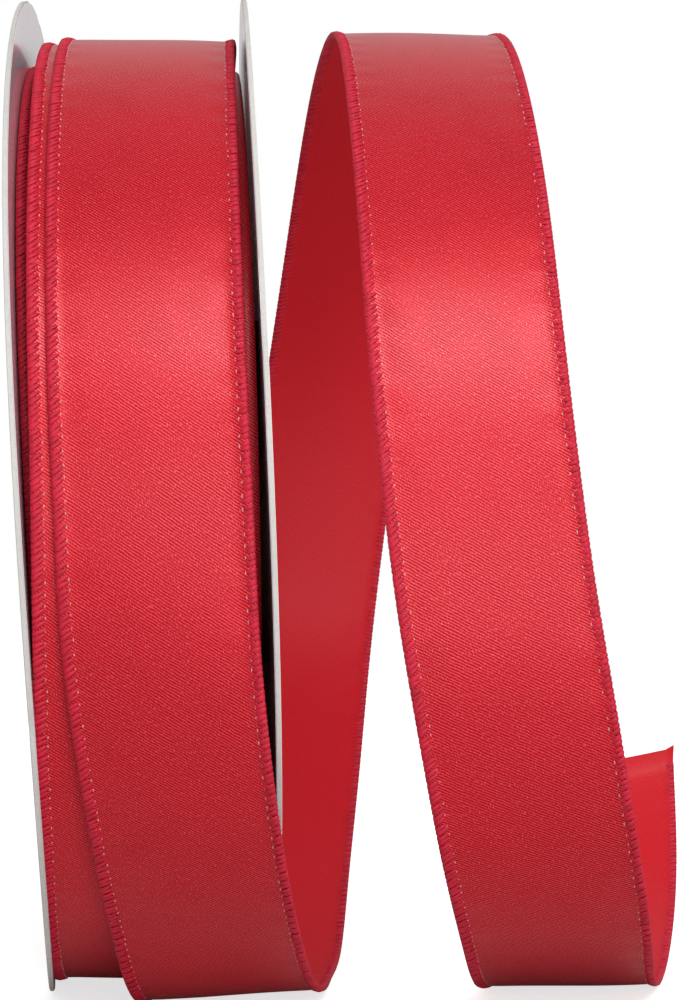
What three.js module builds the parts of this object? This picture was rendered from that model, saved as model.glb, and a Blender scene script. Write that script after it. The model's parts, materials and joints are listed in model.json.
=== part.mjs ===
// A spool of wired satin ribbon, 38 mm wide, standing on the rims of its card flanges.
// Its two outer turns have sprung loose, and the end stands beside it in one tall loop.
// Millimetres, +Z up. The spool's axis runs along X, and the ribbon leaves over the +X flange.
// The origin is on the ground, in the middle of the whole part's footprint.

import * as THREE from "three";

// Spool
const FLANGE_RADIUS = 108;
const SPOOL_WIDTH = 48;
const ARBOR_RADIUS = 16;
const BOARD_THICKNESS = 0.8;
const PAPER_THICKNESS = 0.12;
const PAPER_SETBACK = 0.3;
const GLUE_LINE = 0.03;
const CORE_RADIUS = 38;
const CORE_WALL = 3;
const GLUE_BEAD = 2;
const LEAN = 0.0209;

// Ribbon
const RIBBON_WIDTH = 38.4;
const SATIN_THICKNESS = 0.36;
const EDGE_THICKNESS = 1;
const EDGE_OVERLAP = 1.3;
const WIRE_SIZE = 0.28;
const FIT = 0.05;
const WOUND_RADIUS = 93.3;
const WOUND_WIDTH = 41;
const WOUND_OFFSET = -1.2;

// Loose turns
const FIRST_LOOSE_RADIUS = 95.4;
const LOOSE_RADIUS = 102.3;
const OUTER_TURN_GROWTH = 1.1;
const LOOSE_SAG = 3.2;
const HOOP_STEP = 15;
const HOOP_END = 615;

// Faceting
const ROUND_SEGMENTS = 56;
const STATIONS = 100;
const CUT_GAP = 0.3;

// Where the middle of the ribbon runs from the front of the outer turn to its cut end, from the
// spool's centre: x, y, z and the bank in degrees, which pushes the ribbon's right edge outwards.
const RUN = [
  [1.3, -103.4, 0, 0],
  [2.6, -102.2, -26, 4],
  [4.9, -96.5, -48, 8],
  [8.4, -83, -71, 8],
  [12.2, -62, -90, 4],
  [16, -38, -103.5, -3],
  [19.5, -16, -107.2, -1],
  [22, 4, -107.8, 0],
  [25, 24, -106.3, 0],
  [30, 66, -92.5, 0],
  [35.4, 103, -69, 0],
  [40.5, 130, -38, 0],
  [45.3, 139, -5, 0],
  [49.7, 137, 26, 0],
  [53.8, 125, 56, 0],
  [56.8, 104, 81, 0],
  [58.7, 70, 98.3, 0],
  [59.9, 30, 105.3, 0],
  [60.4, -8, 100.3, 0],
  [60.3, -43, 82.5, 0],
  [60.6, -69, 57, 0],
  [61.5, -83, 31, 0],
  [63.6, -90, 4, 0],
  [66.6, -92.5, -21, 0],
  [70.7, -90.5, -44, 0],
  [76, -81, -68, 0],
  [82.5, -60, -89.5, 0],
  [88.2, -33, -103, 0],
  [95.3, -3, -107.7, 0],
  [104.2, 32, -101.5, 0],
  [110.6, 60, -86, 0],
  [113.5, 80, -64, 0],
];

// How far the loose turns stand to one side at each angle, and how the names share the route.
const HOOP_SIDE = [
  [0, -0.6],
  [60, -0.8],
  [180, -3.4],
  [270, -2.4],
  [360, -0.8],
  [420, 0.4],
  [540, 0.4],
  [630, 1.3],
];
const LOOP_START = [4.9, -96.5, -48];
const TAIL_START = [95.3, -3, -107.7];

const card = new THREE.MeshStandardMaterial({ color: "#a8a49c", roughness: 0.95 });
const facingPaper = new THREE.MeshStandardMaterial({ color: "#e9e6e4", roughness: 0.6 });
const liningPaper = new THREE.MeshStandardMaterial({ color: "#e8dde6", roughness: 0.25 });
const kraft = new THREE.MeshStandardMaterial({ color: "#a98b66", roughness: 0.9 });
const greyPly = new THREE.MeshStandardMaterial({ color: "#8f8778", roughness: 0.95 });
const hotGlue = new THREE.MeshStandardMaterial({ color: "#e2d9b8", roughness: 0.3 });
const tape = new THREE.MeshStandardMaterial({ color: "#d9cfa6", roughness: 0.3 });
const satin = new THREE.MeshStandardMaterial({ color: "#c8323f", roughness: 0.4 });
const thread = new THREE.MeshStandardMaterial({ color: "#c92f45", roughness: 0.6 });
const steel = new THREE.MeshStandardMaterial({ color: "#b9bcc0", roughness: 0.35, metalness: 1 });

function named(name, geometry, material) {
  const mesh = new THREE.Mesh(geometry, material);
  mesh.name = name;
  return mesh;
}

// A round ring about the X axis, between two radii and two places along the axis.
function ring(inner, outer, from, to) {
  const corners = [
    [inner, from],
    [outer, from],
    [outer, to],
    [inner, to],
    [inner, from],
  ];
  const profile = corners.map(([radius, along]) => new THREE.Vector2(radius, along));
  return new THREE.LatheGeometry(profile, ROUND_SEGMENTS).rotateZ(-Math.PI / 2);
}

// A shape in the plane across the X axis, with its thickness along the axis.
function sliceAlongX(shape, from, thickness) {
  const options = { depth: thickness, bevelEnabled: false, curveSegments: 8 };
  const solid = new THREE.ExtrudeGeometry(shape, options);
  return solid.rotateX(Math.PI / 2).rotateZ(Math.PI / 2).translate(from, 0, 0);
}

// The spool: two card flanges, each with paper on both sides, on a wound card tube.
function makeFlange(side) {
  const label = side < 0 ? "left" : "right";
  const paperRadius = FLANGE_RADIUS - PAPER_SETBACK;
  const layers = [
    ["facing", PAPER_THICKNESS, paperRadius, facingPaper],
    ["board", BOARD_THICKNESS, FLANGE_RADIUS, card],
    ["lining", PAPER_THICKNESS, paperRadius, liningPaper],
  ];
  const meshes = [];
  let outside = SPOOL_WIDTH / 2;
  for (const [layer, thickness, radius, material] of layers) {
    const inside = outside - thickness;
    const from = Math.min(side * outside, side * inside);
    const to = Math.max(side * outside, side * inside);
    const disc = ring(ARBOR_RADIUS, radius, from, to);
    meshes.push(named(`${label}_flange_${layer}`, disc, material));
    outside = inside - GLUE_LINE;
  }
  return meshes;
}

function makeCore() {
  const halfLength =
    SPOOL_WIDTH / 2 - BOARD_THICKNESS - 2 * PAPER_THICKNESS - 3 * GLUE_LINE;
  const plyRadius = CORE_RADIUS - CORE_WALL / 2;
  const bore = CORE_RADIUS - CORE_WALL;
  const beadOuter = bore - GLUE_LINE;
  const beadInner = beadOuter - GLUE_BEAD;
  const innerPly = ring(bore, plyRadius - GLUE_LINE, -halfLength, halfLength);
  const outerPly = ring(plyRadius, CORE_RADIUS, -halfLength, halfLength);
  const leftBead = ring(beadInner, beadOuter, -halfLength, GLUE_BEAD - halfLength);
  const rightBead = ring(beadInner, beadOuter, halfLength - GLUE_BEAD, halfLength);
  return [
    named("core_tube_inner", innerPly, greyPly),
    named("core_tube_outer", outerPly, kraft),
    named("left_core_glue", leftBead, hotGlue),
    named("right_core_glue", rightBead, hotGlue),
  ];
}

// The tape that holds the ribbon's inner end: a short arc of strip on the outside of the core.
function makeStartTape() {
  const width = 19;
  const halfAngle = 0.3;
  const inner = CORE_RADIUS + 0.08;
  const outer = inner + 0.1;
  const strip = new THREE.Shape();
  strip.absarc(0, 0, outer, -halfAngle, halfAngle, false);
  strip.absarc(0, 0, inner, halfAngle, -halfAngle, true);
  return named("start_tape", sliceAlongX(strip, -width / 2, width), tape);
}

function makeWinding() {
  const from = WOUND_OFFSET - WOUND_WIDTH / 2;
  const inner = CORE_RADIUS + 0.4;
  const coil = ring(inner, WOUND_RADIUS, from, from + WOUND_WIDTH);
  return named("wound_ribbon", coil, satin);
}

// The loose turns: one point every HOOP_STEP degrees, from the bottom up the back and round.
function easeIn(value) {
  const t = Math.min(Math.max(value, 0), 1);
  return t * t * (3 - 2 * t);
}

function sideAt(angle) {
  const next = HOOP_SIDE.findIndex(([a]) => a >= angle);
  if (next <= 0) return HOOP_SIDE[0][1];
  const [a0, x0] = HOOP_SIDE[next - 1];
  const [a1, x1] = HOOP_SIDE[next];
  return x0 + ((x1 - x0) * (angle - a0)) / (a1 - a0);
}

function loosePoints() {
  const points = [];
  for (let angle = 0; angle <= HOOP_END; angle += HOOP_STEP) {
    const loosened = easeIn(angle / 140);
    const radius =
      FIRST_LOOSE_RADIUS +
      (LOOSE_RADIUS - FIRST_LOOSE_RADIUS) * loosened +
      OUTER_TURN_GROWTH * easeIn((angle - 360) / 120);
    const turn = THREE.MathUtils.degToRad(angle);
    const drop = LOOSE_SAG * loosened;
    points.push([
      sideAt(angle),
      radius * Math.sin(turn),
      -drop - radius * Math.cos(turn),
      0,
    ]);
  }
  return points;
}

const routePoints = [...loosePoints(), ...RUN];
const route = new THREE.CatmullRomCurve3(
  routePoints.map(([x, y, z]) => new THREE.Vector3(x, y, z)),
);
route.arcLengthDivisions = 4000;
const routeLength = route.getLength();

// The place along the route, from 0 to its length, that passes nearest to a point.
function placeNearest(point) {
  const target = new THREE.Vector3(...point);
  const samples = route.getSpacedPoints(4000);
  let best = 0;
  samples.forEach((sample, i) => {
    if (sample.distanceTo(target) < samples[best].distanceTo(target)) best = i;
  });
  return (best / 4000) * routeLength;
}

function bankAt(place) {
  const along = route.getUtoTmapping(place / routeLength) * (routePoints.length - 1);
  const before = Math.min(Math.floor(along), routePoints.length - 2);
  const bank = THREE.MathUtils.lerp(
    routePoints[before][3],
    routePoints[before + 1][3],
    along - before,
  );
  return THREE.MathUtils.degToRad(bank);
}

// A station holds the ribbon's middle, its direction across and the way its outer face looks.
function stationAt(place) {
  const u = Math.min(place / routeLength, 1);
  const along = route.getTangentAt(u);
  const across = new THREE.Vector3(1, 0, 0).addScaledVector(along, -along.x).normalize();
  across.applyAxisAngle(along, bankAt(place));
  const outwards = new THREE.Vector3().crossVectors(along, across);
  return { place, middle: route.getPointAt(u), across, outwards };
}

const turnStart = placeNearest([sideAt(360), 0, -LOOSE_SAG - LOOSE_RADIUS]);
const loopStart = placeNearest(LOOP_START);
const tailStart = placeNearest(TAIL_START);
const cuts = [turnStart, loopStart, tailStart];

// Stations stand at even steps, and at half steps where the ribbon crosses the right flange's rim.
const step = routeLength / STATIONS;
const isCrossing = (place) => place > loopStart - 50 && place < loopStart + 170;
const places = [];
for (let i = 0; i <= STATIONS; i += 1) {
  const stops = isCrossing(i * step) ? [i * step, (i + 0.5) * step] : [i * step];
  places.push(...stops.filter((place) => cuts.every((cut) => Math.abs(cut - place) > 3)));
}
cuts.forEach((cut) => places.push(cut - CUT_GAP / 2, cut + CUT_GAP / 2));
places.sort((a, b) => a - b);
const stations = places.map(stationAt);

// A solid that carries one outline, across and outwards, along a stretch of the stations. Every
// wall of a twisted stretch is split along the same diagonal, so that it stays equally thick.
function sweep(outline, stretch) {
  const corner = ({ middle, across, outwards }, [u, v]) =>
    middle.clone().addScaledVector(across, u).addScaledVector(outwards, v);
  const triangles = [];
  const contour = outline.map(([u, v]) => new THREE.Vector2(u, v));
  const caps = THREE.ShapeUtils.triangulateShape(contour, []);
  const first = stretch[0];
  const last = stretch[stretch.length - 1];
  for (const [a, b, c] of caps) {
    triangles.push([first, c, first, b, first, a]);
    triangles.push([last, a, last, b, last, c]);
  }
  for (let i = 0; i < stretch.length - 1; i += 1) {
    const near = stretch[i];
    const far = stretch[i + 1];
    outline.forEach((_, j) => {
      const k = (j + 1) % outline.length;
      if (outline[k][0] >= outline[j][0]) {
        triangles.push([near, j, near, k, far, k]);
        triangles.push([near, j, far, k, far, j]);
      } else {
        triangles.push([near, j, near, k, far, j]);
        triangles.push([near, k, far, k, far, j]);
      }
    });
  }
  const vertices = [];
  for (const [s0, a, s1, b, s2, c] of triangles) {
    vertices.push(corner(s0, outline[a]), corner(s1, outline[b]), corner(s2, outline[c]));
  }
  return new THREE.BufferGeometry().setFromPoints(vertices);
}

// The satin lies between the threads; each edge thread is a channel that wraps the satin's edge
// and the wire; the wire lies in the channel's bottom.
const half = RIBBON_WIDTH / 2;
const satinHalf = half - EDGE_OVERLAP / 2;
const satinOutline = [
  [-satinHalf, -SATIN_THICKNESS / 2],
  [satinHalf, -SATIN_THICKNESS / 2],
  [satinHalf, SATIN_THICKNESS / 2],
  [-satinHalf, SATIN_THICKNESS / 2],
];

function threadOutline(side) {
  const lip = half - EDGE_OVERLAP;
  const back = satinHalf + WIRE_SIZE + 2 * FIT;
  const shoulder = half - 0.2;
  const inside = SATIN_THICKNESS / 2 + FIT;
  const outside = EDGE_THICKNESS / 2;
  const outline = [
    [lip, inside],
    [back, inside],
    [back, -inside],
    [lip, -inside],
    [lip, -outside],
    [shoulder, -outside],
    [half, 0],
    [shoulder, outside],
    [lip, outside],
  ];
  if (side > 0) return outline;
  return outline.map(([u, v]) => [-u, v]).reverse();
}

function wireOutline(side) {
  const from = satinHalf + FIT;
  const outline = [
    [from, -WIRE_SIZE / 2],
    [from + WIRE_SIZE, -WIRE_SIZE / 2],
    [from + WIRE_SIZE, WIRE_SIZE / 2],
    [from, WIRE_SIZE / 2],
  ];
  if (side > 0) return outline;
  return outline.map(([u, v]) => [-u, v]).reverse();
}

function makeSatin() {
  const names = ["inner_loose_turn", "outer_loose_turn", "ribbon_loop", "ribbon_tail"];
  const ends = [0, ...cuts, routeLength + CUT_GAP];
  return names.map((name, i) => {
    const stretch = stations.filter(
      ({ place }) => place > ends[i] - 1e-9 && place < ends[i + 1],
    );
    return named(name, sweep(satinOutline, stretch), satin);
  });
}

function makeEdges() {
  const meshes = [];
  for (const [label, side] of [["left", -1], ["right", 1]]) {
    const wrap = sweep(threadOutline(side), stations);
    const wire = sweep(wireOutline(side), stations);
    meshes.push(named(`${label}_edge_thread`, wrap, thread));
    meshes.push(named(`${label}_edge_wire`, wire, steel));
  }
  return meshes;
}

// The whole part. The spool leans because its right flange stands on the ribbon's run.
const spool = new THREE.Group();
spool.rotation.y = -LEAN;
spool.add(...makeFlange(-1), ...makeFlange(1), ...makeCore());
spool.add(makeStartTape(), makeWinding());

const assembly = new THREE.Group();
assembly.add(spool, ...makeSatin(), ...makeEdges());

const bounds = new THREE.Box3().setFromObject(assembly, true);
const middle = bounds.getCenter(new THREE.Vector3());
assembly.position.set(-middle.x, -middle.y, -bounds.min.z);

const group = new THREE.Group();
group.add(assembly);

export default group;
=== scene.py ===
"""A spool of red wired satin ribbon with its end pulled out in one standing loop.

It follows the spool as it is made up: the card tube, the flanges, the tight winding, and then the
loose end of the ribbon with its overlocked edges. Metres, +Z up.
"""

import json
import math

import bmesh
import bpy
import numpy as np
from mathutils import Matrix, Vector, noise


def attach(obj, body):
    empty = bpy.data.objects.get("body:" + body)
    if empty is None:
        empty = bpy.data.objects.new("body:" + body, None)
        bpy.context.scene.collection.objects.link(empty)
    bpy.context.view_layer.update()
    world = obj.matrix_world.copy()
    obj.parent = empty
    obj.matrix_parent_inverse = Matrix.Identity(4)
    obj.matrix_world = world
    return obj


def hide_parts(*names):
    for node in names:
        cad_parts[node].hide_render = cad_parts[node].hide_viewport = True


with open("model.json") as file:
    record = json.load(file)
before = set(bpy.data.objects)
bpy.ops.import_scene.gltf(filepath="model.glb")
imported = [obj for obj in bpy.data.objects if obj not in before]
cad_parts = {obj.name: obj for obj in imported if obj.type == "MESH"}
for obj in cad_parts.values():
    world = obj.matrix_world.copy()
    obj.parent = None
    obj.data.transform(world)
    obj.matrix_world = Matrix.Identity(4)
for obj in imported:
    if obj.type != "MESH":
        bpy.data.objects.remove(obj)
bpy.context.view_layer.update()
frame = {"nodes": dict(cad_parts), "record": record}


# ---- Camera: level with the spool's axis, 0.6 m in front of it and turned a little to the right, so
# that the inside of the left flange shows. A long lens, as in a product shot.
MM = 0.001
spool_turn = next(j for j in frame["record"]["behaviour"]["joints"] if j["name"] == "spool_turn")
spool_centre = Vector(spool_turn["pos_m"])
camera_from_spool = Vector((3.5, -603.5, -1.3)) * MM
camera_turn = -math.atan2(0.0645, 0.9979)
camera_data = bpy.data.cameras.new("camera")
camera_data.sensor_width = 36
camera_data.lens = 97.5
camera = bpy.data.objects.new("camera", camera_data)
bpy.context.scene.collection.objects.link(camera)
camera.location = spool_centre + camera_from_spool
camera.rotation_euler = (math.radians(90), 0, camera_turn)
bpy.context.scene.camera = camera


# ---- Core tube: two plies of spirally wound card, grey inside and kraft outside, that hold the
# flanges apart. Cut square from a long tube, so the ends show the plies.
spool_axis = Vector(spool_turn["axis"]).normalized()
lean = Vector((1, 0, 0)).rotation_difference(spool_axis).to_matrix().to_4x4()
on_spool = Matrix.Translation(spool_centre) @ lean


def nodes_of(name, **constants):
    """A new material with its tree cleared down to a Principled shader."""
    material = bpy.data.materials.new(name)
    material.use_nodes = True
    tree = material.node_tree
    shader = tree.nodes["Principled BSDF"]
    for socket, value in constants.items():
        shader.inputs[socket.replace("_", " ")].default_value = value
    return material, tree, shader


def add(tree, kind, operation=None, **values):
    """One node, with its operation and the constants of its sockets."""
    node = tree.nodes.new(kind)
    if operation:
        node.operation = operation
    for key, value in values.items():
        if key in node.inputs:
            node.inputs[key].default_value = value
        elif key.startswith("in") and key[2:].isdigit():
            node.inputs[int(key[2:])].default_value = value
        else:
            setattr(node, key, value)
    return node


def join(tree, *links):
    """Links between sockets, each given as a pair of source and target."""
    for source, target in links:
        tree.links.new(source, target)


def fibre_group():
    """Pressed card fibres: short lighter and darker flecks, and a height for the bump."""
    group = bpy.data.node_groups.new("card_fibres", "ShaderNodeTree")
    face = group.interface
    face.new_socket("Dark", in_out="INPUT", socket_type="NodeSocketColor")
    face.new_socket("Light", in_out="INPUT", socket_type="NodeSocketColor")
    face.new_socket("Fleck Size", in_out="INPUT", socket_type="NodeSocketFloat")
    face.new_socket("Color", in_out="OUTPUT", socket_type="NodeSocketColor")
    face.new_socket("Height", in_out="OUTPUT", socket_type="NodeSocketFloat")
    entry = group.nodes.new("NodeGroupInput")
    leave = group.nodes.new("NodeGroupOutput")
    place = add(group, "ShaderNodeTexCoord")
    coarse = add(group, "ShaderNodeTexNoise", Detail=6.0, Roughness=0.7, Distortion=1.2)
    cloud = add(group, "ShaderNodeTexNoise", Scale=60.0, Detail=3.0)
    both = add(group, "ShaderNodeMath", "MULTIPLY_ADD", in1=0.35)
    mix = add(group, "ShaderNodeMix", data_type="RGBA")
    join(
        group,
        (place.outputs["Object"], coarse.inputs["Vector"]),
        (entry.outputs["Fleck Size"], coarse.inputs["Scale"]),
        (place.outputs["Object"], cloud.inputs["Vector"]),
        (cloud.outputs["Fac"], both.inputs[0]),
        (coarse.outputs["Fac"], both.inputs[2]),
        (both.outputs[0], mix.inputs["Factor"]),
        (entry.outputs["Dark"], mix.inputs["A"]),
        (entry.outputs["Light"], mix.inputs["B"]),
        (mix.outputs["Result"], leave.inputs["Color"]),
        (coarse.outputs["Fac"], leave.inputs["Height"]),
    )
    return group


card_fibres = fibre_group()


def card_material(name, dark, light, fleck, roughness, bump):
    """Card or paper of two near tones, with fibres of one fineness and a slight relief."""
    material, tree, shader = nodes_of(name, Roughness=roughness)
    fibres = add(tree, "ShaderNodeGroup", node_tree=card_fibres)
    fibres.inputs["Dark"].default_value = (*dark, 1)
    fibres.inputs["Light"].default_value = (*light, 1)
    fibres.inputs["Fleck Size"].default_value = fleck
    relief = add(tree, "ShaderNodeBump", Strength=bump, Distance=0.0002)
    join(
        tree,
        (fibres.outputs["Color"], shader.inputs["Base Color"]),
        (fibres.outputs["Height"], relief.inputs["Height"]),
        (relief.outputs["Normal"], shader.inputs["Normal"]),
    )
    return material


def put(bm, name, material, body, place, sharp=35):
    """The finished object: its place in its mesh, smooth but for its sharp edges, on its body."""
    bmesh.ops.transform(bm, matrix=place, verts=bm.verts)
    limit = math.radians(sharp)
    for edge in bm.edges:
        edge.smooth = len(edge.link_faces) != 2 or edge.calc_face_angle(0) < limit
    for face in bm.faces:
        face.smooth = True
    mesh = bpy.data.meshes.new(name)
    bm.to_mesh(mesh)
    bm.free()
    piece = bpy.data.objects.new(name, mesh)
    bpy.context.scene.collection.objects.link(piece)
    mesh.materials.append(material)
    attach(piece, body)
    return piece


def spun(outline, steps=144):
    """A closed outline of (along, radius) in millimetres, spun once round the X axis."""
    bm = bmesh.new()
    ring = [bm.verts.new((along * MM, 0, radius * MM)) for along, radius in outline]
    edges = [bm.edges.new((a, b)) for a, b in zip(ring, ring[1:] + ring[:1])]
    bmesh.ops.spin(
        bm,
        geom=ring + edges,
        axis=(1, 0, 0),
        cent=(0, 0, 0),
        angle=math.tau,
        steps=steps,
        use_merge=True,
    )
    bmesh.ops.recalc_face_normals(bm, faces=bm.faces)
    return bm


flange_outer = 24.0
board_thickness, paper_thickness, glue_line = 0.8, 0.12, 0.03
lining_face = flange_outer - board_thickness - 2 * paper_thickness - 2 * glue_line
core_end = lining_face - glue_line
cut_softening = 0.2

grey_card = card_material(
    "grey_ply", (0.16, 0.14, 0.11), (0.36, 0.33, 0.27), 900.0, 0.92, 0.5
)
kraft_card = card_material(
    "kraft_ply", (0.26, 0.16, 0.08), (0.5, 0.36, 0.22), 700.0, 0.88, 0.4
)
for ply, bore, outside, paper, slot in (
    ("inner", 35.0, 36.47, grey_card, "grey_ply"),
    ("outer", 36.5, 38.0, kraft_card, "kraft_ply"),
):
    tube = spun(
        [
            (-core_end, bore + cut_softening),
            (-core_end + cut_softening, bore),
            (core_end - cut_softening, bore),
            (core_end, bore + cut_softening),
            (core_end, outside - cut_softening),
            (core_end - cut_softening, outside),
            (-core_end + cut_softening, outside),
            (-core_end, outside - cut_softening),
        ]
    )
    piece = put(tube, f"wound_{ply}_ply", paper, "spool", on_spool)
    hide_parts(f"core_tube_{ply}")


# ---- Core glue: one uneven bead of cream hot-melt glue laid round each end of the tube's bore,
# where it meets the flange.
glue, glue_tree, glue_shader = nodes_of(
    "hot_glue", Base_Color=(0.78, 0.7, 0.5, 1), Roughness=0.28, Subsurface_Weight=0.2
)
glue_noise = add(glue_tree, "ShaderNodeTexNoise", Scale=160.0, Detail=2.0)
glue_place = add(glue_tree, "ShaderNodeTexCoord")
glue_bump = add(glue_tree, "ShaderNodeBump", Strength=0.3, Distance=0.0004)
join(
    glue_tree,
    (glue_place.outputs["Object"], glue_noise.inputs["Vector"]),
    (glue_noise.outputs["Fac"], glue_bump.inputs["Height"]),
    (glue_bump.outputs["Normal"], glue_shader.inputs["Normal"]),
)
bead_inset, bead_radius, bead_half_width, bead_half_height = 1.1, 34.0, 1.0, 0.95
bead_sides = 12
lumps_per_metre, lump_height = 90, 0.5
for label, side in (("left", -1), ("right", 1)):
    centre = side * (core_end - bead_inset)
    outline = []
    for step in range(bead_sides):
        angle = math.tau * step / bead_sides
        along = centre + bead_half_width * math.cos(angle)
        outline.append((along, bead_radius + bead_half_height * math.sin(angle)))
    bead = spun(outline, steps=120)
    for vert in bead.verts:
        round_it = Vector((0, vert.co.y, vert.co.z))
        lump = noise.noise(round_it * lumps_per_metre + Vector((7 * side, 0, 0)))
        middle = round_it.normalized() * bead_radius * MM + Vector((centre * MM, 0, 0))
        away = vert.co - middle
        if away.dot(round_it) < 0:
            vert.co = middle + away * (1 + lump_height * lump)
    piece = put(bead, f"{label}_glue_bead", glue, "spool", on_spool)
    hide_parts(f"{label}_core_glue")


# ---- Start tape: a strip of clear tape that holds the ribbon's inner end to the core. The card
# and the winding hide it, so its own solid stays, in a yellowish clear film.
film, film_tree, film_shader = nodes_of("clear_tape", Roughness=0.2)
film_cloud = add(film_tree, "ShaderNodeTexNoise", Scale=300.0)
film_place = add(film_tree, "ShaderNodeTexCoord")
film_tone = add(film_tree, "ShaderNodeMix", data_type="RGBA")
film_tone.inputs["A"].default_value = (0.62, 0.55, 0.34, 1)
film_tone.inputs["B"].default_value = (0.76, 0.7, 0.48, 1)
join(
    film_tree,
    (film_place.outputs["Object"], film_cloud.inputs["Vector"]),
    (film_cloud.outputs["Fac"], film_tone.inputs["Factor"]),
    (film_tone.outputs["Result"], film_shader.inputs["Base Color"]),
)
tape_mesh = frame["nodes"]["start_tape"].data
tape_mesh.materials.clear()
tape_mesh.materials.append(film)


# ---- Flanges: die-cut discs of grey chipboard. The board has taken a saddle-shaped warp, and its
# cut rim is fibrous, with small nicks where it has been knocked.
flange_radius, arbor_radius = 108.0, 16.0
left_saddle, right_saddle, right_pull = 4.0, 2.0, 0.35
rim_zone, nick_size, nick_depth, fray_depth = 0.1, 0.25, 2.2, 0.12


def warp(side, y, z):
    """How far a flange bends along the axis, in millimetres, at a place in millimetres."""
    saddle = y * z / flange_radius**2
    if side < 0:
        return left_saddle * saddle
    return right_saddle * saddle - right_pull


def disc(side, outside, inside, radius, ragged):
    """A thin flange layer between two places along the axis, bent with its flange."""
    radii = np.linspace(arbor_radius, radius, 15)
    face_a = [(side * outside, r) for r in radii]
    face_b = [(side * inside, r) for r in radii[::-1]]
    bm = spun(face_a + face_b, steps=240)
    for vert in bm.verts:
        x, y, z = vert.co / MM
        reach = math.hypot(y, z)
        if reach > radius - rim_zone:
            where = Vector((side * 31, y, z)) * nick_size
            nick = max(0, noise.noise(where * 0.6) - 0.42) * nick_depth
            fray = noise.noise(where * 6 + Vector((x, 0, 0))) * fray_depth
            shrink = 1 - ragged * (nick + abs(fray)) / reach
            vert.co.y *= shrink
            vert.co.z *= shrink
        vert.co.x += warp(side, y, z) * MM
    return bm


chipboard = card_material(
    "chipboard", (0.48, 0.46, 0.42), (0.86, 0.84, 0.80), 1400.0, 0.95, 0.8
)
for label, side in (("left", -1), ("right", 1)):
    outside = flange_outer - paper_thickness - glue_line
    board = disc(side, outside, outside - board_thickness, flange_radius, 1.0)
    piece = put(board, f"{label}_card_board", chipboard, "spool", on_spool)
    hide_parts(f"{label}_flange_board")


# ---- Flange papers: matte white paper glued outside, and glossy coated white paper inside. Each
# is a hair smaller than the board, and its edge is nicked and frayed a little, less than the board's.
facing = card_material(
    "facing_paper", (0.80, 0.785, 0.77), (0.90, 0.89, 0.88), 1800.0, 0.65, 0.15
)
lining, lining_tree, lining_shader = nodes_of(
    "lining_paper", Coat_Weight=0.5, Coat_Roughness=0.06
)
lining_place = add(lining_tree, "ShaderNodeTexCoord")
lining_cloud = add(lining_tree, "ShaderNodeTexNoise", Scale=25.0, Detail=4.0)
lining_scuff = add(lining_tree, "ShaderNodeTexNoise", Scale=220.0, Detail=5.0, Distortion=2.0)
# The lining's lilac-pink colour is a painted reflection of the red ribbon in the white coated paper;
# the cloud between its two tones is random.
lining_tone_painted_reflection = add(lining_tree, "ShaderNodeMix", data_type="RGBA")
lining_tone_painted_reflection.inputs["A"].default_value = (0.80, 0.72, 0.82, 1)
lining_tone_painted_reflection.inputs["B"].default_value = (0.88, 0.83, 0.90, 1)
lining_bump = add(lining_tree, "ShaderNodeBump", Strength=0.02, Distance=0.0003)
lining_rough = add(lining_tree, "ShaderNodeMapRange", **{"To Min": 0.1, "To Max": 0.25})
join(
    lining_tree,
    (lining_place.outputs["Object"], lining_cloud.inputs["Vector"]),
    (lining_place.outputs["Object"], lining_scuff.inputs["Vector"]),
    (lining_cloud.outputs["Fac"], lining_tone_painted_reflection.inputs["Factor"]),
    (lining_tone_painted_reflection.outputs["Result"], lining_shader.inputs["Base Color"]),
    (lining_scuff.outputs["Fac"], lining_rough.inputs["Value"]),
    (lining_rough.outputs["Result"], lining_shader.inputs["Roughness"]),
    (lining_scuff.outputs["Fac"], lining_bump.inputs["Height"]),
    (lining_bump.outputs["Normal"], lining_shader.inputs["Normal"]),
)
paper_setback, paper_raggedness = 0.3, 0.6
paper_radius = flange_radius - paper_setback
for label, side in (("left", -1), ("right", 1)):
    for kind, outside, paper in (
        ("facing", flange_outer, facing),
        ("lining", lining_face + paper_thickness, lining),
    ):
        skin = disc(side, outside, outside - paper_thickness, paper_radius, paper_raggedness)
        piece = put(skin, f"{label}_{kind}_paper", paper, "spool", on_spool)
        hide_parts(f"{label}_flange_{kind}")


# ---- Satin: 38 mm red polyester satin, woven single-faced, so that its floats lie in fine slanting
# lines on the shiny side and hardly show on the back. UV is metres along and across the ribbon.
weave_slant = math.radians(35)
line_pitch, crossing_pitch = 0.00053, 0.0007


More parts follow.
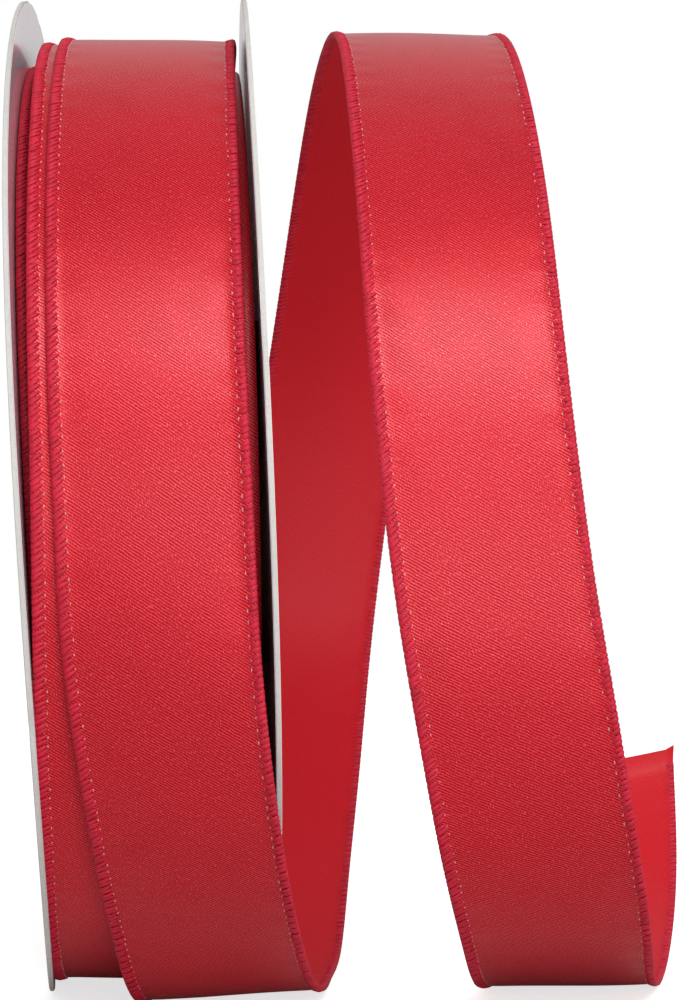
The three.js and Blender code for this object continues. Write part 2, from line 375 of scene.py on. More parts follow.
def weave_group():
    """Slanting lines broken by crossing ones, a fine grain and a slow change of shade."""
    group = bpy.data.node_groups.new("satin_weave", "ShaderNodeTree")
    face = group.interface
    for name in ("Slant Cos", "Slant Sin", "Line Pitch"):
        face.new_socket(name, in_out="INPUT", socket_type="NodeSocketFloat")
    face.new_socket("Lines", in_out="OUTPUT", socket_type="NodeSocketFloat")
    face.new_socket("Sparkle", in_out="OUTPUT", socket_type="NodeSocketFloat")
    face.new_socket("Shade", in_out="OUTPUT", socket_type="NodeSocketFloat")
    entry = group.nodes.new("NodeGroupInput")
    leave = group.nodes.new("NodeGroupOutput")
    cloth = add(group, "ShaderNodeUVMap", uv_map="ribbon")
    split = add(group, "ShaderNodeSeparateXYZ")
    along = add(group, "ShaderNodeMath", "MULTIPLY")
    across = add(group, "ShaderNodeMath", "MULTIPLY")
    phase = add(group, "ShaderNodeMath", "ADD")
    turns = add(group, "ShaderNodeMath", "DIVIDE")
    wobble = add(group, "ShaderNodeTexNoise", Scale=420.0, Detail=2.0)
    shifted = add(group, "ShaderNodeMath", "MULTIPLY_ADD", in1=0.9)
    radians = add(group, "ShaderNodeMath", "MULTIPLY", in1=math.tau)
    wave = add(group, "ShaderNodeMath", "SINE")
    patch = add(group, "ShaderNodeTexNoise", Scale=130.0, Detail=1.0)
    fade = add(group, "ShaderNodeMapRange", **{"From Min": 0.3, "From Max": 0.6, "To Min": 0.35})
    crossing = add(group, "ShaderNodeMath", "SUBTRACT")
    cross_turns = add(group, "ShaderNodeMath", "MULTIPLY", in1=math.tau / crossing_pitch)
    dash = add(group, "ShaderNodeMath", "SINE")
    broken = add(group, "ShaderNodeMath", "MULTIPLY_ADD", in1=0.35, in2=0.65)
    woven = add(group, "ShaderNodeMath", "MULTIPLY")
    lines = add(group, "ShaderNodeMath", "MULTIPLY")
    stretch = add(group, "ShaderNodeMapping")
    stretch.inputs["Scale"].default_value = (1500.0, 4200.0, 1.0)
    grain = add(group, "ShaderNodeTexNoise", Scale=1.0, Detail=3.0, Roughness=0.6)
    large = add(group, "ShaderNodeTexNoise", Scale=28.0, Detail=2.0)
    join(
        group,
        (cloth.outputs["UV"], split.inputs[0]),
        (split.outputs["X"], along.inputs[0]),
        (entry.outputs["Slant Cos"], along.inputs[1]),
        (split.outputs["Y"], across.inputs[0]),
        (entry.outputs["Slant Sin"], across.inputs[1]),
        (along.outputs[0], phase.inputs[0]),
        (across.outputs[0], phase.inputs[1]),
        (phase.outputs[0], turns.inputs[0]),
        (entry.outputs["Line Pitch"], turns.inputs[1]),
        (cloth.outputs["UV"], wobble.inputs["Vector"]),
        (wobble.outputs["Fac"], shifted.inputs[0]),
        (turns.outputs[0], shifted.inputs[2]),
        (shifted.outputs[0], radians.inputs[0]),
        (radians.outputs[0], wave.inputs[0]),
        (cloth.outputs["UV"], patch.inputs["Vector"]),
        (patch.outputs["Fac"], fade.inputs["Value"]),
        (along.outputs[0], crossing.inputs[0]),
        (across.outputs[0], crossing.inputs[1]),
        (crossing.outputs[0], cross_turns.inputs[0]),
        (cross_turns.outputs[0], dash.inputs[0]),
        (dash.outputs[0], broken.inputs[0]),
        (wave.outputs[0], woven.inputs[0]),
        (broken.outputs[0], woven.inputs[1]),
        (woven.outputs[0], lines.inputs[0]),
        (fade.outputs["Result"], lines.inputs[1]),
        (cloth.outputs["UV"], stretch.inputs["Vector"]),
        (stretch.outputs["Vector"], grain.inputs["Vector"]),
        (cloth.outputs["UV"], large.inputs["Vector"]),
        (lines.outputs[0], leave.inputs["Lines"]),
        (grain.outputs["Fac"], leave.inputs["Sparkle"]),
        (large.outputs["Fac"], leave.inputs["Shade"]),
    )
    return group


satin_weave = weave_group()


def satin_material(name, dark, light, line_depth, painted_glints, roughness, gloss_weight, metallic):
    """Satin of one shade, whose shine lies in its floats: the raised lines catch the light. Its base
    colour also carries painted sheen on the raised lines, painted shade in the grooves and painted pink
    glints.
    """
    material, tree, shader = nodes_of(
        name, Metallic=metallic, Specular_IOR_Level=0.08, Coat_Roughness=roughness
    )
    weave = add(tree, "ShaderNodeGroup", node_tree=satin_weave)
    weave.inputs["Slant Cos"].default_value = math.cos(weave_slant)
    weave.inputs["Slant Sin"].default_value = -math.sin(weave_slant)
    weave.inputs["Line Pitch"].default_value = line_pitch
    height = add(tree, "ShaderNodeMath", "MULTIPLY_ADD", in1=line_depth)
    bright = add(tree, "ShaderNodeMapRange", **{"From Min": 0.2, "From Max": 0.95})
    shine = add(
        tree, "ShaderNodeMapRange", **{"To Min": 0.2 * gloss_weight, "To Max": 1.8 * gloss_weight}
    )
    # Painted light in the base colour: lighter on the raised lines as painted sheen, darker in the
    # grooves as painted shade, with a slow random mottle on top.
    mottle_and_painted_float_light = add(tree, "ShaderNodeMath", "MULTIPLY_ADD", in1=0.25)
    weave_colour_painted_light = add(tree, "ShaderNodeMix", data_type="RGBA")
    weave_colour_painted_light.inputs["A"].default_value = (*dark, 1)
    weave_colour_painted_light.inputs["B"].default_value = (*light, 1)
    gloss = add(
        tree, "ShaderNodeMapRange", **{"To Min": roughness + 0.08, "To Max": roughness - 0.08}
    )
    # Painted glints: where the grain peaks, the base colour is mixed towards pale pink, a painted
    # highlight.
    painted_glint_mask = add(tree, "ShaderNodeMapRange", **{"From Min": 0.58, "From Max": 0.72})
    painted_glint_share = add(tree, "ShaderNodeMath", "MULTIPLY", in1=painted_glints)
    with_painted_glints = add(tree, "ShaderNodeMix", data_type="RGBA")
    with_painted_glints.inputs["B"].default_value = (1.0, 0.30, 0.36, 1)
    relief = add(tree, "ShaderNodeBump", Strength=0.4, Distance=0.00006)
    join(
        tree,
        (weave.outputs["Lines"], height.inputs[0]),
        (weave.outputs["Sparkle"], height.inputs[2]),
        (height.outputs[0], bright.inputs["Value"]),
        (bright.outputs["Result"], shine.inputs["Value"]),
        (shine.outputs["Result"], shader.inputs["Coat Weight"]),
        (weave.outputs["Shade"], mottle_and_painted_float_light.inputs[0]),
        (bright.outputs["Result"], mottle_and_painted_float_light.inputs[2]),
        (mottle_and_painted_float_light.outputs[0], weave_colour_painted_light.inputs["Factor"]),
        (weave.outputs["Sparkle"], painted_glint_mask.inputs["Value"]),
        (painted_glint_mask.outputs["Result"], painted_glint_share.inputs[0]),
        (painted_glint_share.outputs[0], with_painted_glints.inputs["Factor"]),
        (weave_colour_painted_light.outputs["Result"], with_painted_glints.inputs["A"]),
        (with_painted_glints.outputs["Result"], shader.inputs["Base Color"]),
        (weave.outputs["Sparkle"], gloss.inputs["Value"]),
        (gloss.outputs["Result"], shader.inputs["Roughness"]),
        (height.outputs[0], relief.inputs["Height"]),
        (relief.outputs["Normal"], shader.inputs["Normal"]),
    )
    return material


# In both satins the dark colour is painted shade in the weave's grooves, and the light colour is
# painted sheen on its raised floats.
satin = satin_material(
    "satin",
    dark=(0.30, 0.003, 0.007),
    light=(0.92, 0.024, 0.046),
    line_depth=1.0,
    painted_glints=0.5,
    roughness=0.34,
    gloss_weight=0.42,
    metallic=0.18,
)
satin_back = satin_material(
    "satin_back",
    dark=(0.62, 0.008, 0.016),
    light=(0.78, 0.014, 0.030),
    line_depth=0.05,
    painted_glints=0.0,
    roughness=0.5,
    gloss_weight=0.5,
    metallic=0.0,
)


# ---- Winding: 108 turns of the ribbon wound tight on the core in one spiral. Its wired edges are
# thicker than the satin and stack into two ribbed walls, which wander a little from side to side.
ribbon_width = 38.4
first_radius, last_radius, turn_pitch = 38.6, 92.85, 0.5
turns_wound = round((last_radius - first_radius) / turn_pitch)
turn_steps = 48
right_drift, first_side = 2.6, -0.5
# The ribbon's cross-section with its two beads: across and outwards from its middle.
wound_outline = [
    (-19.1, 0.0),
    (-18.6, 0.23),
    (-17.3, 0.23),
    (-16.6, 0.12),
    (16.6, 0.12),
    (17.3, 0.23),
    (18.6, 0.23),
    (19.1, 0.0),
    (18.6, -0.23),
    (17.3, -0.23),
    (16.6, -0.12),
    (-16.6, -0.12),
    (-17.3, -0.23),
    (-18.6, -0.23),
]


def loft(rows, closed_ends=True):
    """A bmesh through rows of points, each row a closed outline, with flat caps on both ends."""
    count = rows.shape[1]
    bm = bmesh.new()
    made = [[bm.verts.new(p) for p in row] for row in rows]
    for near, far in zip(made, made[1:]):
        for j in range(count):
            k = (j + 1) % count
            bm.faces.new((near[j], near[k], far[k], far[j]))
    if closed_ends:
        bm.faces.new(made[0][::-1])
        bm.faces.new(made[-1])
    return bm


def along_uv(bm, lengths, across):
    """The ribbon's own UV map, metres along and across, from lofted rows."""
    count = len(across)
    lengths = np.broadcast_to(np.reshape(lengths, (len(lengths), -1)), (len(lengths), count))
    bm.verts.index_update()
    layer = bm.loops.layers.uv.new("ribbon")
    for face in bm.faces:
        for corner in face.loops:
            row, column = divmod(corner.vert.index, count)
            corner[layer].uv = (lengths[row, column] * MM, across[column] * MM)


def wound_piece(name, first_turn, last_turn):
    """Some of the winding's turns, which drift to the right as the spool fills up."""
    steps = np.arange(first_turn * turn_steps, last_turn * turn_steps + 1)
    angle = math.tau * steps / turn_steps
    radius = first_radius + turn_pitch * steps / turn_steps
    outermost = steps / turn_steps / turns_wound
    wander = 0.6 * np.sin(angle * 0.231) * np.cos(angle * 0.077 + 1) + 0.15 * np.sin(angle * 1.31)
    side = right_drift * outermost**2 + first_side + wander * (1 - 0.6 * outermost)
    rows = np.empty((len(steps), len(wound_outline), 3))
    for j, (u, v) in enumerate(wound_outline):
        reach = radius + v
        rows[:, j, 0] = side + u
        rows[:, j, 1] = reach * np.sin(angle)
        rows[:, j, 2] = -reach * np.cos(angle)
    bm = loft(rows * MM)
    lengths = np.concatenate([[0], np.cumsum(radius[1:] * math.tau / turn_steps)])
    along_uv(bm, lengths, [u for u, _ in wound_outline])
    bmesh.ops.recalc_face_normals(bm, faces=bm.faces)
    piece = put(bm, name, satin, "spool", on_spool, sharp=70)
    return piece


winding_split = 60
inner_winding = wound_piece("inner_winding", 0, winding_split)
outer_winding = wound_piece("outer_winding", winding_split, turns_wound)
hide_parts("wound_ribbon")
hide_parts("wound_ribbon")


# ---- Last tight turn: the outermost turn that is still wound tight. It has slid against the left
# flange, so its overlocked edge shows beside the two loose turns.
def route_frames(middle, bank=None, step=2.0):
    """Even stations along a line: distance, middle, direction across, and outwards."""
    gaps = np.linalg.norm(np.diff(middle, axis=0), axis=1)
    travelled = np.concatenate([[0], np.cumsum(gaps)])
    count = int(travelled[-1] / step) + 1
    even = np.linspace(0, travelled[-1], count)
    line = np.stack([np.interp(even, travelled, middle[:, k]) for k in range(3)], axis=1)
    ahead = np.gradient(line, even, axis=0)
    ahead /= np.linalg.norm(ahead, axis=1)[:, None]
    across = np.array([1.0, 0, 0]) - ahead * ahead[:, :1]
    across /= np.linalg.norm(across, axis=1)[:, None]
    outwards = np.cross(ahead, across)
    if bank is not None:
        roll = np.radians(np.interp(even, travelled, bank))[:, None]
        across, outwards = (
            np.cos(roll) * across + np.sin(roll) * outwards,
            np.cos(roll) * outwards - np.sin(roll) * across,
        )
    return {"s": even, "middle": line, "across": across, "outwards": outwards}


def on_ribbon(frames, s, u, v):
    """Points at a distance along, a distance across and a height outwards, all in millimetres."""
    s, u, v = np.broadcast_arrays(s, u, v)
    spread = [
        np.stack([np.interp(s, frames["s"], frames[key][:, k]) for k in range(3)], axis=-1)
        for key in ("middle", "across", "outwards")
    ]
    across = (u * drawn_in(frames, s))[..., None]
    return spread[0] + across * spread[1] + v[..., None] * spread[2]


half_width = ribbon_width / 2
hem_start = 16.9
# Half of what the satin and its turned hem are thick.
satin_half, hem_half = 0.16, 0.31
cup_share, cup_run_in = 0.035, 60


def drawn_in(frames, s):
    """How much the ribbon is drawn together across, where its wires pull it into a slight cup."""
    start, end = frames.get("cup", (0, 0))
    rise = np.clip((s - start) / cup_run_in, 0, 1) * np.clip((end - s) / cup_run_in, 0, 1)
    return 1 - cup_share * rise * (end > 0)


pucker_height, stitch_dip, slow_height = 0.10, 0.08, 0.16


def satin_height(frames, s, u):
    """The satin's own relief: a slight crown, a dip at the stitching and small puckers beside it."""
    rim = np.abs(u)
    crown = frames.get("crown", 0.0) * (1 - (u / half_width) ** 2)
    beside = np.exp(-(((hem_start - 1.2 - rim) / 2.4) ** 2))
    pucker = pucker_height * np.sin(s / 1.35 + 2.1 * np.sin(s / 9.7) + np.sign(u)) * beside
    slow = slow_height * np.sin(s / 27.0 + u / 9.0) * np.cos(s / 41.0 - u / 15.0)
    fade = np.clip((half_width - rim) / 5, 0, 1)
    return crown + (pucker - stitch_dip * beside) * (rim < hem_start + 1.5) + slow * fade


def cut_at(frames, u):
    """How far along the slanting cut crosses the ribbon; the right hem stands out at its corner."""
    below_corner = np.clip((half_width - u) / (half_width - hem_start), 0, 1)
    slope = frames.get("slant", 0.0) * (half_width - u)
    return frames["s"][-1] - slope - frames.get("horn", 0.0) * below_corner


def sheared(frames, s, u, reach=60.0):
    """The stations of the last stretch, drawn back so that the ribbon ends along its cut."""
    last = frames["s"][-1]
    return s - (last - cut_at(frames, u)) * np.clip(1 - (last - s) / reach, 0, 1)


curl_rate = 0.1


def end_curl(frames, s, u):
    """The last few millimetres before the cut end tip up, as the shears left them."""
    past = np.clip(s - (cut_at(frames, u) - frames.get("curl", 0)), 0, None)
    return -curl_rate * past**2


def satin_strip(name, frames, body, place, columns=25):
    """Both faces of the satin, closed round the turned hems that hold the wires."""
    inner_u = np.linspace(-hem_start, hem_start, columns)
    hem_u = np.array([hem_start + 0.5, half_width - 0.5, half_width - 0.12])
    hem_v = np.array([hem_half, hem_half, 0.5 * hem_half])
    top_u = np.concatenate([-hem_u[::-1], inner_u, hem_u])
    top_v = np.concatenate([hem_v[::-1], np.full(columns, satin_half), hem_v])
    u = np.concatenate([top_u, top_u[::-1]])
    v = np.concatenate([top_v, -top_v[::-1]])
    s = sheared(frames, frames["s"][:, None], u[None])
    height = satin_height(frames, s, u[None]) + v + end_curl(frames, s, u[None])
    bm = loft(on_ribbon(frames, s, u[None], height) * MM, closed_ends=False)
    count = len(u)
    bm.verts.ensure_lookup_table()
    for ring in (bm.verts[:count], bm.verts[len(bm.verts) - count :]):
        for j in range(count // 2 - 1):
            bm.faces.new((ring[j], ring[j + 1], ring[-2 - j], ring[-1 - j]))
    along_uv(bm, s, u)
    bmesh.ops.recalc_face_normals(bm, faces=bm.faces)
    for face in bm.faces:
        columns_used = [vert.index % count for vert in face.verts]
        face.material_index = int(min(columns_used) >= len(top_u))
    piece = put(bm, name, satin, body, place, sharp=40)
    piece.data.materials.append(satin_back)
    return piece


tight_radius, flange_gap = 93.35, 0.1
tight_angle = np.radians(np.arange(8, 353, 1.0))
tight_y = tight_radius * np.sin(tight_angle)
tight_z = -tight_radius * np.cos(tight_angle)
tight_x = -lining_face + flange_gap + half_width + warp(-1, tight_y, tight_z)
tight_frames = route_frames(np.stack([tight_x, tight_y, tight_z], axis=1))
tight_turn = satin_strip("last_tight_turn", tight_frames, "spool", on_spool, columns=13)


# ---- Loose ribbon: one length of the same satin. Two turns have sprung loose round the winding;
# the outer one climbs over the right flange's rim, passes under it on the ground, and the end
# stands in one tall loop beside the spool.
def ease(value):
    """A smooth step from 0 to 1."""
    t = min(max(value, 0), 1)
    return t * t * (3 - 2 * t)


# Where the middle of the two loose turns lies along the axis, at some angles from the bottom.
hoop_angles = [0, 60, 180, 205, 235, 270, 360, 420, 540, 562, 592, 612, 630]
hoop_sides = [-0.6, -0.8, -2.9, -3.9, -3.7, -2.0, -0.6, 0.4, 0.9, -0.6, -0.8, 0.0, 1.2]
snug_radius, loose_radius, outer_growth = 95.4, 102.3, 1.1
hoop_sag, top_sag = 3.2, 1.1
hoop_end, hoop_step = 615, 15
route = []
for degrees in range(0, hoop_end + 1, hoop_step):
    loosened = ease(degrees / 140)
    radius = snug_radius + (loose_radius - snug_radius) * loosened
    radius += outer_growth * ease((degrees - 360) / 120)
    angle = math.radians(degrees)
    side = float(np.interp(degrees, hoop_angles, hoop_sides))
    drop = loosened * (hoop_sag + top_sag * max(0, -math.cos(angle)))
    route.append((side, radius * math.sin(angle), -drop - radius * math.cos(angle), 0))
# From the front of the outer turn to the cut end: x, y, z and the bank in degrees, which pushes the
# ribbon's right edge outwards.
route += [
    (1.3, -103.4, 0, 0),
    (2.6, -102.2, -26, 4),
    (4.9, -96.5, -48, 8),
    (8.4, -83, -71, 8),
    (12.2, -62, -90, 4),
    (16, -38, -103.5, -3),
    (19.5, -16, -107.2, -1),
    (22, 4, -107.8, 0),
    (25, 24, -106.3, 0),
    (30, 66, -92.5, 0),
    (35.4, 103, -69, 0),
    (40.5, 130, -38, 0),
    (45.3, 139, -5, 0),
    (49.7, 137, 26, 0),
    (53.8, 125, 56, 0),
    (56.8, 104, 81, 0),
    (58.7, 70, 98.3, 0),
    (59.9, 30, 105.3, 0),
    (60.4, -8, 100.3, 0),
    (60.3, -43, 82.5, 0),
    (60.6, -69, 57, 0),
    (61.5, -83, 31, 0),
    (63.6, -90, 4, 0),
    (66.6, -92.5, -21, 0),
    (70.7, -90.5, -44, 0),
    (76, -81, -68, 0),
    (82.5, -60, -89.5, 0),
    (88.2, -33, -103, 0),
    (95.3, -3, -107.7, 0),
    (104.2, 32, -101.5, 0),
    (110.6, 60, -86, 0),
    (113.5, 80, -64, 0),
]


def smooth_through(points, samples=9000):
    """A natural cubic spline through points of any number of components, by chord length."""
    p = np.array(points, float)
    h = np.sqrt(np.linalg.norm(np.diff(p[:, :3], axis=0), axis=1))
    t = np.concatenate([[0], np.cumsum(h)])
    n = len(p)
    system = np.eye(n)
    right = np.zeros_like(p)
    for i in range(1, n - 1):
        system[i, i - 1 : i + 2] = h[i - 1], 2 * (h[i - 1] + h[i]), h[i]
        right[i] = 6 * ((p[i + 1] - p[i]) / h[i] - (p[i] - p[i - 1]) / h[i - 1])
    bend = np.linalg.solve(system, right)
    at = np.linspace(0, t[-1], samples)
    i = np.clip(np.searchsorted(t, at) - 1, 0, n - 2)
    left, gone, span = (t[i + 1] - at)[:, None], (at - t[i])[:, None], h[i][:, None]
    return (
        bend[i] * left**3 / (6 * span)
        + bend[i + 1] * gone**3 / (6 * span)
        + (p[i] / span - bend[i] * span / 6) * left
        + (p[i + 1] / span - bend[i + 1] * span / 6) * gone
    )


line = smooth_through(route)
loose_frames = route_frames(line[:, :3], bank=line[:, 3])
loose_frames.update(crown=0.25, cup=(900, 1230), curl=5.0, slant=0.28, horn=1.0)
beside_spool = Matrix.Translation(spool_centre)
loose_satin = satin_strip("loose_ribbon", loose_frames, "ribbon", beside_spool)
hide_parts("inner_loose_turn", "outer_loose_turn", "ribbon_loop", "ribbon_tail")


# ---- Edge wires: fine bare steel wire in each turned hem, which lets the ribbon keep its shape. It
# is cut with the ribbon, and its end just shows in the cut hem.
wire_metal, wire_tree, wire_shader = nodes_of("edge_wire", Metallic=1.0, Roughness=0.3)
wire_place = add(wire_tree, "ShaderNodeTexCoord")
wire_cloud = add(wire_tree, "ShaderNodeTexNoise", Scale=2500.0)
wire_tone = add(wire_tree, "ShaderNodeMix", data_type="RGBA")
wire_tone.inputs["A"].default_value = (0.42, 0.42, 0.44, 1)
wire_tone.inputs["B"].default_value = (0.7, 0.7, 0.72, 1)
join(
    wire_tree,
    (wire_place.outputs["Object"], wire_cloud.inputs["Vector"]),
    (wire_cloud.outputs["Fac"], wire_tone.inputs["Factor"]),
    (wire_tone.outputs["Result"], wire_shader.inputs["Base Color"]),
)


wire_inset, wire_radius, wire_stub = 0.62, 0.17, 0.1


def edge_wire(name, frames, side, body, place):
    """A round wire down the middle of one hem, and straight on past the cut by its stub."""
    middle = side * (half_width - wire_inset)
    s = sheared(frames, frames["s"], middle)
    s = np.concatenate([s[:-12:2], s[-12:], s[-1:]])
    turn_round = np.linspace(0, math.tau, 7)[:-1]
    u = middle + wire_radius * np.cos(turn_round)
    v = wire_radius * np.sin(turn_round)
    curl = end_curl(frames, s, middle)[:, None]
    rows = on_ribbon(frames, s[:, None], u[None], v[None] + curl)
    onwards = rows[-2] - rows[-3]
    rows[-1] += wire_stub * onwards / np.linalg.norm(onwards[0])
    bm = loft(rows * MM)
    bmesh.ops.recalc_face_normals(bm, faces=bm.faces)
    return put(bm, name, wire_metal, body, place, sharp=70)


for label, side in (("left", -1), ("right", 1)):
    wire = edge_wire(f"{label}_wire", loose_frames, side, "ribbon", beside_spool)
    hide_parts(f"{label}_edge_wire")


# ---- Edge threads: plump red overlock thread wrapped over each hem, two slanting wraps to each
# stitch, with the pale needle thread that holds them showing on the satin as a row of dots.
thread, thread_tree, thread_shader = nodes_of(
    "edge_thread", Roughness=0.55, Specular_IOR_Level=0.35
)
thread_place = add(thread_tree, "ShaderNodeTexCoord")
thread_fibre = add(thread_tree, "ShaderNodeTexNoise", Scale=5200.0, Detail=2.0)
thread_cloud = add(thread_tree, "ShaderNodeTexNoise", Scale=420.0, Detail=2.0)
thread_tone = add(thread_tree, "ShaderNodeMix", data_type="RGBA")
thread_tone.inputs["A"].default_value = (0.40, 0.006, 0.022, 1)
thread_tone.inputs["B"].default_value = (0.84, 0.022, 0.066, 1)
thread_bump = add(thread_tree, "ShaderNodeBump", Strength=0.5, Distance=0.00008)
join(
    thread_tree,
    (thread_place.outputs["Object"], thread_fibre.inputs["Vector"]),
    (thread_place.outputs["Object"], thread_cloud.inputs["Vector"]),
    (thread_cloud.outputs["Fac"], thread_tone.inputs["Factor"]),
    (thread_tone.outputs["Result"], thread_shader.inputs["Base Color"]),
    (thread_fibre.outputs["Fac"], thread_bump.inputs["Height"]),
    (thread_bump.outputs["Normal"], thread_shader.inputs["Normal"]),
)
needle = card_material("needle_thread", (0.55, 0.10, 0.14), (0.92, 0.50, 0.53), 2600.0, 0.6, 0.3)

stitch_pitch = 2.35
# In shares of a stitch: where the first one starts, and how far on its second wrap lies.
first_stitch, second_wrap = 0.45, 0.42
thread_half = 0.21
left_wrap_slant, right_wrap_slant, wrap_middle = -0.5, 0.25, 1.2
right_wrap_depth = 0.82
# One wrap: distance in from the edge, height, and half its own width along the edge.
wrap_path = np.array(
    [
        (2.35, 0.24, 0.20),
        (1.75, 0.44, 0.45),
        (0.95, 0.57, 0.54),
        (0.34, 0.41, 0.54),
        (0.20, 0.0, 0.51),
        (0.34, -0.40, 0.51),
        (1.0, -0.52, 0.51),
        (2.25, -0.26, 0.24),
    ]
)


def overlock(name, frames, side, body, place, shuffle):
    """Two wraps to each stitch along one edge, as closed flattened tubes of six sides."""
    wraps = int((cut_at(frames, side * hem_start) - 1.6) / stitch_pitch) * 2
    second = np.arange(wraps) % 2
    starts = stitch_pitch * (first_stitch + np.arange(wraps) // 2 + second_wrap * second)
    jitter = np.random.default_rng(shuffle).normal(0, 1, (wraps, 3))
    depth = wrap_path[:, 0] * (1.0 if side < 0 else right_wrap_depth)
    height = wrap_path[:, 1]
    ahead = np.gradient(np.stack([depth, height], axis=1), axis=0)
    ahead /= np.linalg.norm(ahead, axis=1)[:, None]
    ring = np.linspace(0, math.tau, 7)[:-1]
    slant = right_wrap_slant if side > 0 else left_wrap_slant
    lean_over = slant * (depth - wrap_middle) * np.sign(height + 0.001)
    along = lean_over[:, None] + wrap_path[:, 2, None] * np.cos(ring)
    inwards = depth[:, None] - ahead[:, 1, None] * thread_half * np.sin(ring)
    up = height[:, None] + ahead[:, 0, None] * thread_half * np.sin(ring)
    s = starts[:, None, None] + along * (1 + 0.08 * jitter[:, 0, None, None])
    u = side * (half_width - inwards[None] * (1 + 0.04 * jitter[:, 1, None, None]))
    v = up[None] * (1 + 0.06 * jitter[:, 2] - 0.07 * second)[:, None, None]
    points = on_ribbon(frames, s, u, v + end_curl(frames, s, side * hem_start)) * MM
    bm = bmesh.new()
    for rows in points:
        made = [[bm.verts.new(p) for p in row] for row in rows]
        for near, far in zip(made, made[1:]):
            for j in range(6):
                bm.faces.new((near[j], near[j - 1], far[j - 1], far[j]))
        bm.faces.new(made[0])
        bm.faces.new(made[-1][::-1])
    bmesh.ops.recalc_face_normals(bm, faces=bm.faces)
    return put(bm, name, thread, body, place, sharp=80)


dot_half_width, dot_height, dot_foot, dot_taper = 0.14, 0.16, 0.12, 0.6


def needle_row(name, frames, body, place):
    """The needle thread's dots on the shiny side, one for each stitch, beside both hems."""
    starts = stitch_pitch * np.arange(first_stitch, frames["s"][-1] / stitch_pitch - 0.5)
    uneven = np.random.default_rng(11).normal(0, 1, (2, len(starts), 2))
    bm = bmesh.new()
    for side, long, inset in ((-1, 0.32, 2.5), (1, 0.46, 2.1)):
        waist = dot_taper * long
        outline = [
            (-long, 0),
            (-waist, -dot_half_width),
            (waist, -dot_half_width),
            (long, 0),
            (waist, dot_half_width),
            (-waist, dot_half_width),
        ]
        across = side * (half_width - inset)
        for start, (shift, stray) in zip(starts, uneven[max(side, 0)]):
            start += 0.2 * shift + 0.25 * side
            middle = across + 0.06 * stray
            curl = end_curl(frames, start, across)
            if start > cut_at(frames, across) - 1:
                break
            low, cap = (
                [
                    bm.verts.new(p)
                    for p in on_ribbon(
                        frames,
                        np.array([start + share * a for a, _ in outline]),
                        np.array([middle + share * b for _, b in outline]),
                        dot_foot + lift + curl,
                    )
                    * MM
                ]
                for share, lift in ((1, 0), (dot_taper, dot_height))
            )
            for j in range(6):
                bm.faces.new((low[j - 1], low[j], cap[j], cap[j - 1]))
            bm.faces.new(cap)
            bm.faces.new(low[::-1])
    bmesh.ops.recalc_face_normals(bm, faces=bm.faces)
    return put(bm, name, needle, body, place, sharp=80)


for label, side, shuffle in (("left", -1, 3), ("right", 1, 5)):
    stitches = overlock(f"{label}_overlock", loose_frames, side, "ribbon", beside_spool, shuffle)
    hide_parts(f"{label}_edge_thread")
needle_row("needle_thread", loose_frames, "ribbon", beside_spool)
tight_threads = [
    overlock("tight_left_overlock", tight_frames, -1, "spool", on_spool, 7),
    overlock("tight_right_overlock", tight_frames, 1, "spool", on_spool, 9),
    needle_row("tight_needle_thread", tight_frames, "spool", on_spool),
]


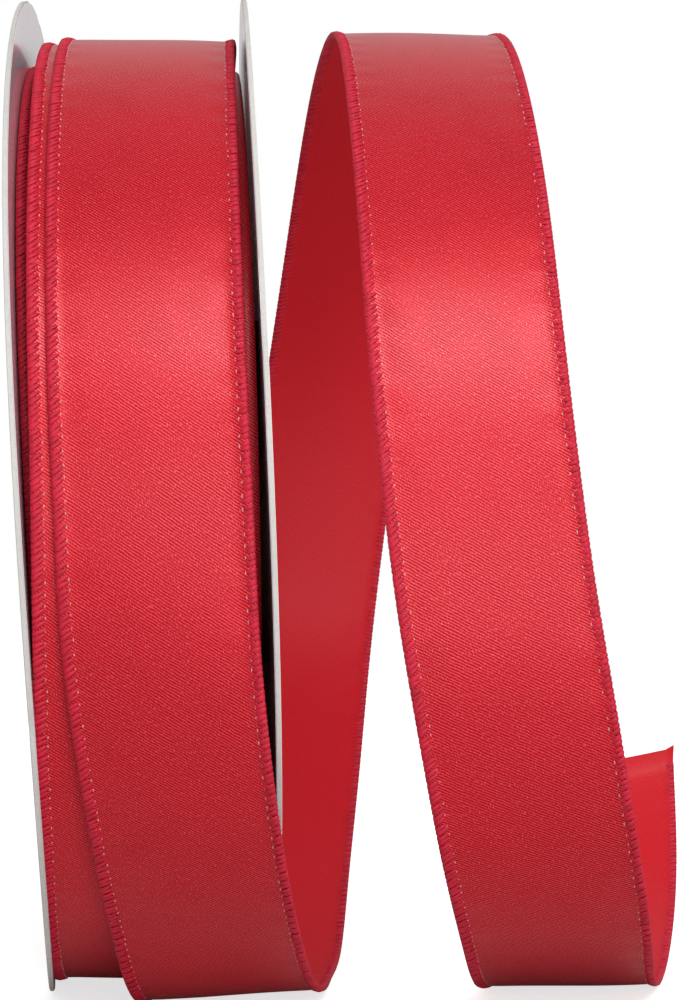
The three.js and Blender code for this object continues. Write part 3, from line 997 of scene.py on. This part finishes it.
# ---- Studio: a white floor that fades out into a white surround, a soft key light in front and above
# on the right, a wide low fill in front and a weaker light from behind.
floor_material, floor_tree, floor_shader = nodes_of("floor", Roughness=0.9)
floor_place = add(floor_tree, "ShaderNodeTexCoord")
floor_reach = add(floor_tree, "ShaderNodeVectorMath", "LENGTH")
floor_ray = add(floor_tree, "ShaderNodeLightPath")
floor_tone = add(floor_tree, "ShaderNodeMapRange", **{"To Min": 0.65, "To Max": 0.93})
floor_glow = add(floor_tree, "ShaderNodeMath", "MULTIPLY", in1=0.7)
floor_shader.inputs["Emission Color"].default_value = (1, 1, 1, 1)
floor_fade = add(
    floor_tree, "ShaderNodeMapRange", **{"From Min": 0.4, "From Max": 1.7, "To Min": 1.0, "To Max": 0.0}
)
join(
    floor_tree,
    (floor_place.outputs["Object"], floor_reach.inputs[0]),
    (floor_reach.outputs["Value"], floor_fade.inputs["Value"]),
    (floor_fade.outputs["Result"], floor_shader.inputs["Alpha"]),
    (floor_ray.outputs["Is Camera Ray"], floor_tone.inputs["Value"]),
    (floor_tone.outputs["Result"], floor_shader.inputs["Base Color"]),
    (floor_ray.outputs["Is Camera Ray"], floor_glow.inputs[0]),
    (floor_glow.outputs[0], floor_shader.inputs["Emission Strength"]),
)
floor_bm = bmesh.new()
bmesh.ops.create_circle(floor_bm, cap_ends=True, segments=64, radius=2.0)
floor_mesh = bpy.data.meshes.new("floor")
floor_bm.to_mesh(floor_mesh)
floor_bm.free()
floor_mesh.materials.append(floor_material)
floor = bpy.data.objects.new("floor", floor_mesh)
bpy.context.scene.collection.objects.link(floor)


def soft_light(name, place, aim, width, height, power):
    """A rectangular area light that isn't seen itself; places in metres, power in watts."""
    data = bpy.data.lights.new(name, "AREA")
    data.shape = "RECTANGLE"
    data.size, data.size_y, data.energy = width, height, power
    light = bpy.data.objects.new(name, data)
    bpy.context.scene.collection.objects.link(light)
    light.location = place
    light.visible_camera = False
    light.rotation_euler = (Vector(aim) - Vector(place)).to_track_quat("-Z", "Y").to_euler()


soft_light("key", (0.3, -1.2, 1.15), (0, 0, 0.12), 0.8, 0.55, 12.5)
soft_light("fill", (0.4, -1.6, 0.15), (0, 0, 0.1), 1.3, 0.9, 9.5)
soft_light("back", (0.1, 1.1, 0.95), (0.1, 0, 0.6), 2.0, 1.8, 4)

world = bpy.data.worlds.new("studio")
bpy.context.scene.world = world
world.use_nodes = True
world_tree = world.node_tree
surround = world_tree.nodes["Background"]
surround.inputs["Color"].default_value = (1, 1, 1, 1)
surround.inputs["Strength"].default_value = 1.0
room_light = add(world_tree, "ShaderNodeBackground", Color=(1, 1, 1, 1), Strength=0.3)
world_ray = add(world_tree, "ShaderNodeLightPath")
world_pick = add(world_tree, "ShaderNodeMixShader")
join(
    world_tree,
    (world_ray.outputs["Is Camera Ray"], world_pick.inputs["Fac"]),
    (room_light.outputs[0], world_pick.inputs[1]),
    (surround.outputs[0], world_pick.inputs[2]),
    (world_pick.outputs[0], world_tree.nodes["World Output"].inputs["Surface"]),
)
bpy.context.scene.view_settings.view_transform = "Standard"
